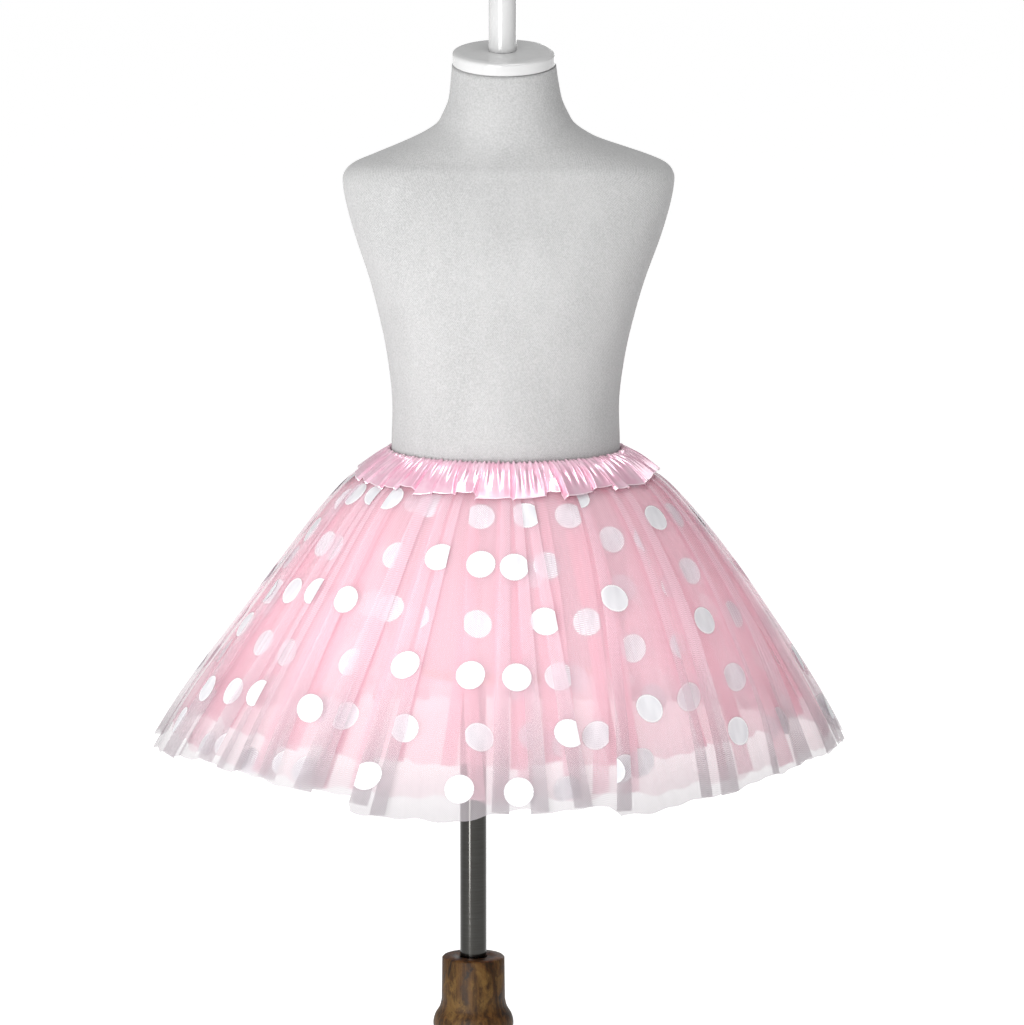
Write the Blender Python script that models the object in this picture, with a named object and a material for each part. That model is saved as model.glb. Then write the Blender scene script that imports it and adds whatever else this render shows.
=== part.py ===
"""Tulle skirt on a limbless child-size dress form with a turned wooden stand.

Metres, +Z up. The front faces -Y and the wearer's left is at +X. The origin is the centre of
the base disc's underside. Directions round the skirt are angles in degrees: 0 is +X, 90 is the
front, 180 is -X and 270 is the back.
"""

import math
from collections import namedtuple

import bmesh
import bpy
from mathutils import Vector
import numpy as np

# Driving dimensions
GAP = 0.0003  # clearance between touching pieces
FORM_X = 0.0265  # the form stands this far beside the pole's axis
WAIST_Z = 0.660  # top edge of the waistband
WAIST_WIDTH, WAIST_DEPTH = 0.0923, 0.0805  # half sizes of the form at the waist
SLANT = 0.305  # outer tulle, from waist seam to hem along the cloth
MIDDLE_SHORTER, INNER_SHORTER = 0.020, 0.050
CLOTH = 0.0012  # wall of the tulle
SATIN = 0.0010  # wall of the waistband
ELASTIC_TALL, ELASTIC_THICK = 0.006, 0.0010
SEAM_Z = WAIST_Z - 0.0085  # the tulle's top edges, just under the elastic
SEAM_OUT = 0.0036  # how far the tulle's top edge stands out from the form
BAND_SLANT = 0.028  # the waistband's free outer ply
BAND_OUT, BAND_DROP = 0.0040, 0.0012  # where that ply leaves the fold: out from the form, and down
BAND_GATHERS = 60
BAND_INNER = (0.0004, 0.0014)  # the two faces of the waistband's inner ply, out from the form
ELASTIC_COLUMNS = 72

# Lean of the cloth from the vertical, in degrees, at distances down the slant
Lean = namedtuple("Lean", "down right left front")
TULLE_LEAN = (
    Lean(0.000, 70, 70, 62),
    Lean(0.018, 61, 62, 55),
    Lean(0.032, 53, 53, 48),
    Lean(0.048, 43, 41, 41),
    Lean(0.085, 39, 37, 35),
    Lean(0.150, 34.6, 36.5, 31),
    Lean(0.228, 30.8, 36, 28.5),
    Lean(0.305, 26, 29, 25),
)
BAND_LEAN = (
    Lean(0.000, 72, 55, 58),
    Lean(0.009, 62, 61, 50),
    Lean(0.018, 53, 60, 44),
    Lean(0.030, 47, 53, 39),
)

# Folded part of the waistband, from the inner ply's lower edge over the top: how far each face of
# the wall stands out from the form, and how far below the top edge it lies
Fold = namedtuple("Fold", "under under_drop upper upper_drop")
BAND_FOLD = (
    Fold(BAND_INNER[1], 0.0150, BAND_INNER[0], 0.0150),
    Fold(BAND_INNER[1], 0.0009, BAND_INNER[0], 0.0006),
    Fold(0.0031, 0.0009, 0.0022, 0.0000),
)

# Free part of the waistband: share of its slant, height of its gathers and lift off its surface
Row = namedtuple("Row", "share gather lift")
BAND_ROWS = (
    Row(0.12, 0.0003, 0.0007),
    Row(0.50, 0.0010, 0.0012),
    Row(1.00, 0.0020, 0.0018),
)

# One gather rises slowly and falls quickly: places across it, and their heights
Gather = namedtuple("Gather", "place height")
GATHER = (Gather(0.0, -1.0), Gather(0.40, 0.25), Gather(0.72, 1.0))

# Creases of the outer layer across the front. A crease drifts from its angle at the waist to
# its angle at the hem. over is 1 where the cloth on the high-angle side lies on top, and
# longer is how much the hem of the stretch after the crease hangs below the plain hem.
Crease = namedtuple("Crease", "waist hem over longer")
FRONT_CREASES = (
    Crease(8, 15, 1, -0.013),
    Crease(13, 26, -1, -0.015),
    Crease(19, 35, 1, -0.013),
    Crease(31, 41, 1, -0.010),
    Crease(42, 48, -1, -0.008),
    Crease(50, 55.5, 1, -0.006),
    Crease(57, 61.5, 1, -0.003),
    Crease(61, 67, -1, -0.001),
    Crease(66, 72.5, 1, -0.010),
    Crease(73, 79.5, 1, -0.009),
    Crease(80, 85.5, 1, -0.009),
    Crease(91, 90.5, 1, -0.006),
    Crease(99, 96, -1, 0.000),
    Crease(104, 102.5, 1, 0.000),
    Crease(108, 109.5, -1, -0.001),
    Crease(114, 117.5, -1, -0.014),
    Crease(121, 126.5, 1, -0.013),
    Crease(129, 134, -1, -0.015),
    Crease(140, 143, 1, -0.015),
    Crease(150, 152, -1, -0.010),
    Crease(161, 162, 1, -0.003),
    Crease(171, 172, -1, 0.000),
)
BACK_FOLDS = 18
BACK_LONGER = -0.006
UNDER_FOLDS = 28  # in the middle layer and in the inner one
TULLE_LAYERS = ("outer", "middle", "inner")

# The quarter panels that each layer is sewn from, and the angle where each begins. A panel's
# seams lie in the creases nearest to these angles
Panel = namedtuple("Panel", "name start")
PANELS = (
    Panel("front_left", 0),
    Panel("front_right", 90),
    Panel("back_right", 180),
    Panel("back_left", 270),
)

# Rows of the cloth walls, as distances down the slant; the last one is the hem
TOP_ROWS = (0.000, 0.020, 0.040, 0.085)
OUTER_ROWS = (*TOP_ROWS, 0.150, 0.228)
UNDER_ROWS = (*TOP_ROWS, 0.185)

# Depth of the steps at the creases and space between the layers, at the waist and at the hem
OUTER_STEP = (0.0001, 0.0050)
UNDER_STEP = (0.0001, 0.0040)
LAYER_SPACE = (0.0016, 0.0074)
STEP_SHARE = 0.10  # part of a stretch's width that its step takes at each end
CROWN_SHARE = 0.12  # height of a stretch's middle, as a part of half a step

# The form, from its flat underside to the neck. lean tips the section forward, in degrees,
# and square is the exponent of its rounded outline, 2 for an ellipse
Section = namedtuple("Section", "height half_width half_depth beside forward lean square")
FORM_SECTIONS = (
    Section(0.488, 0.0880, 0.0800, 0.0265, 0.000, 0, 2),
    Section(0.492, 0.0930, 0.0840, 0.0265, 0.000, 0, 2),
    Section(0.530, 0.0985, 0.0875, 0.0265, -0.001, 0, 2),
    Section(0.580, 0.0975, 0.0865, 0.0265, -0.001, 0, 2),
    Section(0.615, 0.0948, 0.0830, 0.0265, 0.000, 0, 2),
    Section(0.640, WAIST_WIDTH, WAIST_DEPTH, FORM_X, 0.000, 0, 2),
    Section(0.665, WAIST_WIDTH, WAIST_DEPTH, FORM_X, 0.000, 0, 2),
    Section(0.700, 0.0918, 0.0795, 0.0265, 0.001, 0, 2.05),
    Section(0.735, 0.0960, 0.0790, 0.0268, 0.001, 0, 2.15),
    Section(0.765, 0.1022, 0.0790, 0.0272, 0.000, 0, 2.25),
    Section(0.797, 0.1108, 0.0790, 0.0278, 0.000, 0, 2.3),
    Section(0.830, 0.1222, 0.0765, 0.0284, 0.000, 0, 2.35),
    Section(0.855, 0.1296, 0.0720, 0.0286, 0.002, 0, 2.35),
    Section(0.872, 0.1330, 0.0672, 0.0287, 0.003, 0, 2.35),
    Section(0.882, 0.1328, 0.0640, 0.0290, 0.004, 0, 2.35),
    Section(0.890, 0.1262, 0.0608, 0.0298, 0.004, 0, 2.3),
    Section(0.8965, 0.1115, 0.0575, 0.0300, 0.005, 0, 2.25),
    Section(0.903, 0.0938, 0.0545, 0.0282, 0.006, 0, 2.2),
    Section(0.9095, 0.0765, 0.0520, 0.0262, 0.006, 1, 2.1),
    Section(0.916, 0.0640, 0.0498, 0.0264, 0.005, 2, 2),
    Section(0.9225, 0.0552, 0.0478, 0.0266, 0.004, 3, 2),
    Section(0.930, 0.0508, 0.0460, 0.0264, 0.003, 4, 2),
    Section(0.9415, 0.0458, 0.0440, 0.0262, 0.001, 6, 2),
    Section(0.9560, 0.0434, 0.0426, 0.0256, 0.000, 8, 2),
    Section(0.9700, 0.0418, 0.0416, 0.0252, 0.000, 8.5, 2),
)
FORM_SIDES = 32

# Cap and rod on the neck
CAP_RADIUS, CAP_THICK, CAP_EDGE, CAP_TILT = 0.0415, 0.0112, 0.0040, 8.5
CAP_X = 0.0252
ROD_RADIUS, ROD_TOP, ROD_X = 0.0116, 1.060, 0.0240

# Board that closes the form's underside, and pole
BOARD_RADIUS, BOARD_THICK, BOARD_EDGE = 0.076, 0.010, 0.002
POLE_RADIUS, POLE_SOCKET = 0.0108, 0.040
STEM_TOP = 0.2388

# Turned stem and base disc, from below. A profile point is a radius and a height
Turn = namedtuple("Turn", "radius height")
STEM_PROFILE = (
    Turn(0.0600, 0.0223),
    Turn(0.0600, 0.0300),
    Turn(0.0560, 0.0350),
    Turn(0.0380, 0.0440),
    Turn(0.0270, 0.0600),
    Turn(0.0225, 0.0850),
    Turn(0.0230, 0.1150),
    Turn(0.0275, 0.1450),
    Turn(0.0285, 0.1580),
    Turn(0.0270, 0.1690),
    Turn(0.0295, 0.1735),
    Turn(0.0322, 0.1790),
    Turn(0.0328, 0.1845),
    Turn(0.0312, 0.1905),
    Turn(0.0275, 0.1968),
    Turn(0.0259, 0.2035),
    Turn(0.0255, 0.2376),
    Turn(0.0243, STEM_TOP),
)
BASE_PROFILE = (
    Turn(0.1420, 0.0000),
    Turn(0.1450, 0.0030),
    Turn(0.1450, 0.0140),
    Turn(0.1420, 0.0190),
    Turn(0.1340, 0.0220),
)


# Materials


def material(name, colour, roughness, metallic=0.0):
    made = bpy.data.materials.new(name)
    made.use_nodes = True
    shader = made.node_tree.nodes["Principled BSDF"]
    shader.inputs["Base Color"].default_value = (*colour, 1)
    shader.inputs["Roughness"].default_value = roughness
    shader.inputs["Metallic"].default_value = metallic
    return made


def add_object(name, mesh_builder, finish):
    """One named object from a bmesh, with its own material and outward faces."""
    bmesh.ops.recalc_face_normals(mesh_builder, faces=mesh_builder.faces)
    mesh = bpy.data.meshes.new(name)
    mesh_builder.to_mesh(mesh)
    mesh_builder.free()
    mesh.materials.append(finish)
    mesh.shade_smooth()
    mesh.set_sharp_from_angle(angle=math.radians(50))
    made = bpy.data.objects.new(name, mesh)
    bpy.context.scene.collection.objects.link(made)
    return made


# Cloth surfaces


def lean_path(table, side, start_out, start_z):
    """Distance out from the form's axis and height, as functions of the distance down."""
    down = np.linspace(0, table[-1].down, 160)
    leans = np.interp(down, [row.down for row in table], [getattr(row, side) for row in table])
    middle = np.radians((leans[1:] + leans[:-1]) / 2)
    step = down[1]
    out = start_out + np.concatenate([[0], np.cumsum(np.sin(middle) * step)])
    height = start_z - np.concatenate([[0], np.cumsum(np.cos(middle) * step)])
    return lambda s: (
        float(np.interp(s, down, out)) + max(s - down[-1], 0) * math.sin(middle[-1]),
        float(np.interp(s, down, height)) - max(s - down[-1], 0) * math.cos(middle[-1]),
        math.radians(float(np.interp(s, down, leans))),
    )


class Flare:
    """A flaring surface round the form: a lean table swept from its right, left and front."""

    def __init__(self, table, start_out, start_z):
        self.right = lean_path(table, "right", WAIST_WIDTH + start_out, start_z)
        self.left = lean_path(table, "left", WAIST_WIDTH + start_out, start_z)
        self.front = lean_path(table, "front", WAIST_DEPTH + start_out, start_z)

    def point(self, degrees, down, lift):
        """The point at an angle, a distance down the cloth, and lifted off the surface."""
        cos, sin = math.cos(math.radians(degrees)), math.sin(math.radians(degrees))
        wide, side_z, side_lean = (self.right if cos > 0 else self.left)(down)
        deep, front_z, front_lean = self.front(down)
        height = side_z * cos * cos + front_z * sin * sin
        lean = side_lean * cos * cos + front_lean * sin * sin
        flat = Vector((cos / wide, -sin / deep, 0)).normalized()
        normal = flat * math.cos(lean) + Vector((0, 0, math.sin(lean)))
        return Vector((FORM_X + wide * cos, -deep * sin, height)) + normal * lift


def wall(outside, inside, closed=True):
    """A wall from two grids of points with equal rows, that closes round on itself or has two ends."""
    builder = bmesh.new()
    skins = [[[builder.verts.new(p) for p in row] for row in grid] for grid in (outside, inside)]
    columns = len(outside[0])
    steps = [(i, (i + 1) % columns) for i in range(columns if closed else columns - 1)]
    for skin in skins:
        for upper, lower in zip(skin, skin[1:]):
            for i, j in steps:
                builder.faces.new((upper[i], upper[j], lower[j], lower[i]))
    for end in (0, -1):
        outer_edge, inner_edge = skins[0][end], skins[1][end]
        for i, j in steps:
            builder.faces.new((outer_edge[i], outer_edge[j], inner_edge[j], inner_edge[i]))
    if not closed:
        rows = len(outside)
        for side in (0, -1):
            for i in range(rows - 1):
                corners = (skins[0][i], skins[0][i + 1], skins[1][i + 1], skins[1][i])
                builder.faces.new([row[side] for row in corners])
    return builder


def between(ends, share):
    return ends[0] + (ends[1] - ends[0]) * share


def outer_creases():
    """The front creases, and the back ones spaced unevenly by a rule."""
    step = (360 + FRONT_CREASES[0].hem - FRONT_CREASES[-1].hem) / (BACK_FOLDS + 1)
    back = []
    for k in range(1, BACK_FOLDS + 1):
        hem = FRONT_CREASES[-1].hem + step * k + 2.4 * math.sin(2.3 * k)
        over = 1 if math.sin(1.9 * k + 0.4) > 0 else -1
        back.append(Crease(hem + 1.5 * math.sin(1.1 * k), hem, over, BACK_LONGER))
    return (*FRONT_CREASES, *back)


def under_creases(seed):
    """Creases of a hidden layer, spaced unevenly by a rule."""
    creases = []
    for k in range(UNDER_FOLDS):
        hem = 360 / UNDER_FOLDS * (k + 0.28 * math.sin(2.7 * k + seed))
        over = 1 if math.sin(1.7 * k + seed) > 0 else -1
        creases.append(Crease(hem, hem, over, 0.0))
    return tuple(creases)


class Layer:
    """A gathered layer of tulle. depth is its place in the skirt, 0 for the outermost one."""

    def __init__(self, creases, rows, length, step, depth):
        self.flare = Flare(TULLE_LEAN, SEAM_OUT, SEAM_Z)
        self.creases = creases
        self.rows = rows
        self.length = length
        self.step = step
        self.depth = depth

    def columns(self, k, down, first, last):
        """Angle, lift and sideways shift of the columns of stretch k: a seam is half a gap away."""
        count = len(self.creases)
        crease, after = self.creases[k % count], self.creases[(k + 1) % count]
        share = down / SLANT
        half_step = between(self.step, share) / 2
        start = between((crease.waist, crease.hem), share)
        end = between((after.waist, after.hem), share) + (360 if (k + 1) % count == 0 else 0)
        edge = STEP_SHARE * (end - start)
        placed = [
            (start + edge, crease.over * half_step, 0),
            ((start + end) / 2, CROWN_SHARE * half_step, 0),
            (end - edge, -after.over * half_step, 0),
        ]
        if k == first:
            placed.insert(0, (start, 0, GAP / 2))
        if k == last:
            placed.append((end, 0, -GAP / 2))
        return placed

    def point(self, degrees, down, lift, shift):
        place = self.flare.point(degrees, down, lift)
        if not shift:
            return place
        onward = self.flare.point(degrees + 1, down, lift) - place
        return place + onward.normalized() * shift

    def panel(self, first, last):
        """The wall of the stretches from first to last. Each hangs to its own hem."""
        outside, inside = [], []
        for down in (*self.rows, None):
            outer_row, inner_row = [], []
            for k in range(first, last + 1):
                longer = self.creases[k % len(self.creases)].longer
                distance = self.length + longer if down is None else down
                level = -self.depth * between(LAYER_SPACE, distance / SLANT)
                for degrees, lift, shift in self.columns(k, distance, first, last):
                    high, low = level + lift + CLOTH / 2, level + lift - CLOTH / 2
                    outer_row.append(self.point(degrees, distance, high, shift))
                    inner_row.append(self.point(degrees, distance, low, shift))
            outside.append(outer_row)
            inside.append(inner_row)
        return wall(outside, inside, closed=False)


def add_layer(name, layer, finish):
    """A layer as its quarter panels."""
    count = len(layer.creases)
    seams = [
        min(range(count), key=lambda k: abs((layer.creases[k].hem - panel.start + 180) % 360 - 180))
        for panel in PANELS
    ]
    for i, panel in enumerate(PANELS):
        last = seams[(i + 1) % len(PANELS)] - 1
        last += count if last < seams[i] else 0
        add_object(f"{name}_{panel.name}", layer.panel(seams[i], last), finish)


# Waistband: a strip folded over the elastic, whose outer ply flares over the tulle


def waist_ring(degrees, out, height):
    """A point this far out from the form's surface at the waist."""
    cos, sin = math.cos(math.radians(degrees)), math.sin(math.radians(degrees))
    flat = Vector((cos / WAIST_WIDTH, -sin / WAIST_DEPTH, 0)).normalized()
    return Vector((FORM_X + WAIST_WIDTH * cos, -WAIST_DEPTH * sin, height)) + flat * out


def gather_angle(index, point):
    return 360 * (index + point.place) / BAND_GATHERS


def fold_row(out, height):
    """A row of the folded part, with the columns of the gathers."""
    return [
        waist_ring(gather_angle(index, point), out, height)
        for index in range(BAND_GATHERS)
        for point in GATHER
    ]


def free_row(ply, row, side):
    """A row of the gathered ply, on its upper face for side 1 and its under face for -1."""
    points = []
    for index in range(BAND_GATHERS):
        size = 0.78 + 0.22 * math.sin(2.9 * index + 1.3)
        slant = BAND_SLANT + 0.0012 * math.sin(1.7 * index)
        swing = 0.9 * math.sin(0.7 * index) * row.share
        for point in GATHER:
            wave = size * point.height
            down = row.share * (slant + 0.0015 * wave)
            lift = row.lift + row.gather * wave + side * SATIN / 2
            points.append(ply.point(gather_angle(index, point) + swing, down, lift))
    return points


def waistband(finish):
    ply = Flare(BAND_LEAN, BAND_OUT, WAIST_Z - BAND_DROP)
    outside = [fold_row(fold.upper, WAIST_Z - fold.upper_drop) for fold in BAND_FOLD]
    inside = [fold_row(fold.under, WAIST_Z - fold.under_drop) for fold in BAND_FOLD]
    outside += [free_row(ply, row, 1) for row in BAND_ROWS]
    inside += [free_row(ply, row, -1) for row in BAND_ROWS]
    return add_object("waistband", wall(outside, inside), finish)


def elastic(finish):
    near = BAND_INNER[1] + GAP
    top = WAIST_Z - BAND_FOLD[1].under_drop - GAP
    angles = [360 * k / ELASTIC_COLUMNS for k in range(ELASTIC_COLUMNS)]
    heights = (top, top - ELASTIC_TALL)
    outside = [[waist_ring(a, near + ELASTIC_THICK, z) for a in angles] for z in heights]
    inside = [[waist_ring(a, near, z) for a in angles] for z in heights]
    return add_object("waist_elastic", wall(outside, inside), finish)


# Dress form


def section_ring(section):
    power = 2 / section.square
    slope = math.tan(math.radians(section.lean))
    ring = []
    for k in range(FORM_SIDES):
        angle = 2 * math.pi * k / FORM_SIDES
        cos, sin = math.cos(angle), math.sin(angle)
        wide = math.copysign(abs(cos) ** power, cos) * section.half_width
        deep = math.copysign(abs(sin) ** power, sin) * section.half_depth
        place = Vector((section.beside + wide, section.forward + deep, section.height))
        ring.append(place + Vector((0, 0, slope * deep)))
    return ring


def dress_form(finish):
    builder = bmesh.new()
    rings = [[builder.verts.new(p) for p in section_ring(section)] for section in FORM_SECTIONS]
    for lower, upper in zip(rings, rings[1:]):
        for i in range(FORM_SIDES):
            j = (i + 1) % FORM_SIDES
            builder.faces.new((lower[i], lower[j], upper[j], upper[i]))
    builder.faces.new(rings[0])
    builder.faces.new(rings[-1])
    return add_object("form_torso", builder, finish)


def turned(name, profile, sides, finish, centre=(0, 0, 0)):
    """A turned piece: the profile, closed to the axis at both ends, spun about it."""
    builder = bmesh.new()
    points = [(0, profile[0].height), *profile, (0, profile[-1].height)]
    verts = [builder.verts.new((radius, 0, height)) for radius, height in points]
    edges = [builder.edges.new(pair) for pair in zip(verts, verts[1:])]
    bmesh.ops.spin(
        builder, geom=verts + edges, axis=(0, 0, 1), cent=(0, 0, 0), steps=sides,
        angle=2 * math.pi, use_merge=True,
    )
    bmesh.ops.remove_doubles(builder, verts=builder.verts, dist=1e-6)
    made = add_object(name, builder, finish)
    made.location = centre
    return made


def neck_cap(finish):
    half = CAP_THICK / 2
    profile = (
        Turn(CAP_RADIUS - CAP_EDGE / 2, -half),
        Turn(CAP_RADIUS, -half + CAP_EDGE / 2),
        Turn(CAP_RADIUS, half - CAP_EDGE),
        Turn(CAP_RADIUS - 0.3 * CAP_EDGE, half - 0.3 * CAP_EDGE),
        Turn(CAP_RADIUS - CAP_EDGE, half),
    )
    neck = FORM_SECTIONS[-1]
    tilt = math.radians(CAP_TILT)
    up = Vector((0, -math.sin(tilt), math.cos(tilt)))
    cap = turned("neck_cap", profile, 36, finish)
    cap.location = Vector((CAP_X, neck.forward, neck.height)) + up * (half + GAP)
    cap.rotation_euler = (tilt, 0, 0)
    return cap


def neck_rod(finish):
    """The rod's foot is cut to the cap's slope, and its top is domed."""
    neck = FORM_SECTIONS[-1]
    tilt = math.radians(CAP_TILT)
    seat = neck.height + (CAP_THICK + 2 * GAP) / math.cos(tilt)
    profile = [Turn(ROD_RADIUS, seat)]
    for degrees in (0, 30, 60, 85):
        across, up = math.cos(math.radians(degrees)), math.sin(math.radians(degrees))
        profile.append(Turn(ROD_RADIUS * across, ROD_TOP + ROD_RADIUS * (up - 1)))
    rod = turned("neck_rod", profile, 24, finish, (ROD_X, neck.forward, 0))
    for vert in rod.data.vertices:
        if vert.co.z < seat + 1e-5:
            vert.co.z += vert.co.y * math.tan(tilt)
    return rod


# Stand


def stem(finish):
    bore = POLE_RADIUS + GAP
    floor = STEM_TOP - POLE_SOCKET
    profile = (*STEM_PROFILE, Turn(bore, STEM_TOP), Turn(bore, floor))
    return turned("stand_stem", profile, 24, finish)


def pole(finish):
    foot = STEM_TOP - POLE_SOCKET + GAP
    top = FORM_SECTIONS[0].height - BOARD_THICK - 2 * GAP
    profile = (Turn(POLE_RADIUS, foot), Turn(POLE_RADIUS, top))
    return turned("stand_pole", profile, 24, finish)


def board(finish):
    top = FORM_SECTIONS[0].height - GAP
    profile = (
        Turn(BOARD_RADIUS - BOARD_EDGE, top - BOARD_THICK),
        Turn(BOARD_RADIUS, top - BOARD_THICK + BOARD_EDGE),
        Turn(BOARD_RADIUS, top),
    )
    return turned("form_board", profile, 36, finish, (FORM_X, 0, 0))


def main():
    for existing in list(bpy.data.objects):
        bpy.data.objects.remove(existing, do_unlink=True)

    pink = (1.00, 0.66, 0.72)
    outer, middle, inner = (material(f"{layer} tulle", pink, 0.9) for layer in TULLE_LAYERS)
    middle_length, inner_length = SLANT - MIDDLE_SHORTER, SLANT - INNER_SHORTER
    outer_layer = Layer(outer_creases(), OUTER_ROWS, SLANT, OUTER_STEP, 0)
    middle_layer = Layer(under_creases(0.6), UNDER_ROWS, middle_length, UNDER_STEP, 1)
    inner_layer = Layer(under_creases(2.9), UNDER_ROWS, inner_length, UNDER_STEP, 2)
    add_layer("tulle_outer", outer_layer, outer)
    add_layer("tulle_middle", middle_layer, middle)
    add_layer("tulle_inner", inner_layer, inner)
    waistband(material("pink satin", (0.98, 0.62, 0.76), 0.3))
    elastic(material("white elastic", (0.9, 0.9, 0.9), 0.8))
    dress_form(material("jersey", (0.78, 0.78, 0.78), 0.9))
    neck_cap(material("white lacquer", (0.85, 0.85, 0.85), 0.2))
    neck_rod(material("white enamel", (0.88, 0.88, 0.88), 0.25))
    board(material("board", (0.55, 0.45, 0.33), 0.7))
    pole(material("dark steel", (0.12, 0.12, 0.12), 0.2, 1.0))
    stem(material("turned wood", (0.20, 0.12, 0.06), 0.45))
    turned("stand_base", BASE_PROFILE, 40, material("base wood", (0.20, 0.12, 0.06), 0.45))


main()
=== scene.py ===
"""Dotted tulle skirt on a child-size dress form: its looks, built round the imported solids.

Metres, +Z up, front towards -Y, the wearer's left at +X. Directions round the skirt are angles
in degrees: 0 is +X, 90 is the front, 180 is -X and 270 is the back.
"""

import math
from collections import namedtuple

import bpy
import numpy as np
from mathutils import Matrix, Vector


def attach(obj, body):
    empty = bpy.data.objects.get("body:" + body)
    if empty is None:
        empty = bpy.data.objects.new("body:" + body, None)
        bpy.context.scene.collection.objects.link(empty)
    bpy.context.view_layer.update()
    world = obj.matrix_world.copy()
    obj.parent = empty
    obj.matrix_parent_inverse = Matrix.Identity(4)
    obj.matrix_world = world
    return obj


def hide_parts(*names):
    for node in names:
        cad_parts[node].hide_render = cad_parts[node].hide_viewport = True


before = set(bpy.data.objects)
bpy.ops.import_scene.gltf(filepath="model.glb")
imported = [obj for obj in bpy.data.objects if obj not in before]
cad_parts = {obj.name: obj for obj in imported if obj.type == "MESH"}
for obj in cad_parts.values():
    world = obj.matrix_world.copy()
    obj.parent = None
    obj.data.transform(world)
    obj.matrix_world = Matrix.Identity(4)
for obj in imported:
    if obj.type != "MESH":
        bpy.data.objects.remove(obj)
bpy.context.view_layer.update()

# Sizes shared with the solids
FORM_X = 0.0265
WAIST_Z = 0.660
WAIST_WIDTH, WAIST_DEPTH = 0.0923, 0.0805
SLANT = 0.305
MIDDLE_SHORTER, INNER_SHORTER = 0.020, 0.050
SEAM_Z = WAIST_Z - 0.0085
SEAM_OUT = 0.0036
BAND_OUT, BAND_DROP = 0.0040, 0.0012

Lean = namedtuple("Lean", "down right left front")
TULLE_LEAN = (
    Lean(0.000, 70, 70, 62),
    Lean(0.018, 61, 62, 55),
    Lean(0.032, 53, 53, 48),
    Lean(0.048, 43, 41, 41),
    Lean(0.085, 39, 37, 35),
    Lean(0.150, 34.6, 36.5, 31),
    Lean(0.228, 30.8, 36, 28.5),
    Lean(0.305, 26, 29, 25),
)

# The waistband's free ply, which hangs lower here than in its solid
BAND_SLANT = 0.031
BAND_LEAN = (
    Lean(0.000, 64, 50, 58),
    Lean(0.009, 57, 54, 50),
    Lean(0.018, 52, 53, 44),
    Lean(0.030, 47, 49, 39),
)


# Camera at the photograph's viewing angle

ELEVATION = math.radians(9.3)
EYE_DISTANCE = 6.0
AIM = Vector((0.0316, 0.0, 0.606))
METRES_PER_PIXEL = 0.00081
IMAGE_SIDE = 1025
SENSOR_MM = 36.0

forward = Vector((0, math.cos(ELEVATION), -math.sin(ELEVATION)))
camera_data = bpy.data.cameras.new("camera")
camera_data.sensor_width = SENSOR_MM
camera_data.lens = EYE_DISTANCE / METRES_PER_PIXEL / IMAGE_SIDE * SENSOR_MM
camera_data.clip_start, camera_data.clip_end = 0.1, 100
camera = bpy.data.objects.new("camera", camera_data)
camera.location = AIM - forward * EYE_DISTANCE
camera.rotation_euler = (math.pi / 2 - ELEVATION, 0, 0)
bpy.context.scene.collection.objects.link(camera)
bpy.context.scene.camera = camera


# Mesh helpers


def add_mesh(name, points, faces, materials, uvs=None):
    """An object from an array of points and an array of quads. uvs has one pair for each corner."""
    mesh = bpy.data.meshes.new(name)
    mesh.from_pydata(np.asarray(points, float).reshape(-1, 3).tolist(), [], faces)
    mesh.update()
    if uvs is not None:
        layer = mesh.uv_layers.new(name="cloth")
        layer.uv.foreach_set("vector", np.asarray(uvs, np.float32).ravel())
    mesh.shade_smooth()
    for one in materials:
        mesh.materials.append(one)
    made = bpy.data.objects.new(name, mesh)
    bpy.context.scene.collection.objects.link(made)
    return made


def grid_faces(rows, columns, closed):
    """Quads of a grid with its points row by row."""
    faces = []
    for r in range(rows - 1):
        for c in range(columns if closed else columns - 1):
            d = (c + 1) % columns
            top, low = r * columns, (r + 1) * columns
            faces.append((top + c, low + c, low + d, top + d))
    return faces


def smooth_table(table, steps):
    """Rows of numbers, with points in between on a smooth curve through all the rows."""
    rows = np.asarray(table, float)
    before = np.vstack([2 * rows[0] - rows[1], rows, 2 * rows[-1] - rows[-2]])
    out = []
    for i in range(len(rows) - 1):
        a, b, c, d = before[i:i + 4]
        for t in np.linspace(0, 1, steps, endpoint=False):
            out.append(
                0.5 * (2 * b + (c - a) * t + (2 * a - 5 * b + 4 * c - d) * t ** 2
                       + (3 * b - a - 3 * c + d) * t ** 3)
            )
    out.append(rows[-1])
    return np.array(out)


# Cloth surfaces


def lean_path(table, side, start_out, start_z):
    down = np.linspace(0, table[-1].down, 160)
    leans = np.interp(down, [row.down for row in table], [getattr(row, side) for row in table])
    middle = np.radians((leans[1:] + leans[:-1]) / 2)
    step = down[1]
    out = start_out + np.concatenate([[0], np.cumsum(np.sin(middle) * step)])
    height = start_z - np.concatenate([[0], np.cumsum(np.cos(middle) * step)])
    return down, out, height, np.radians(leans)


def on_path(path, s):
    down, out, height, lean = path
    beyond = np.maximum(s - down[-1], 0)
    return (
        np.interp(s, down, out) + beyond * math.sin(lean[-1]),
        np.interp(s, down, height) - beyond * math.cos(lean[-1]),
        np.interp(s, down, lean),
    )


SIDE_SAG, SAG_LENGTH = 0.0015, 0.07  # how far the waist hangs lower at the sides, and down to where


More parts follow.
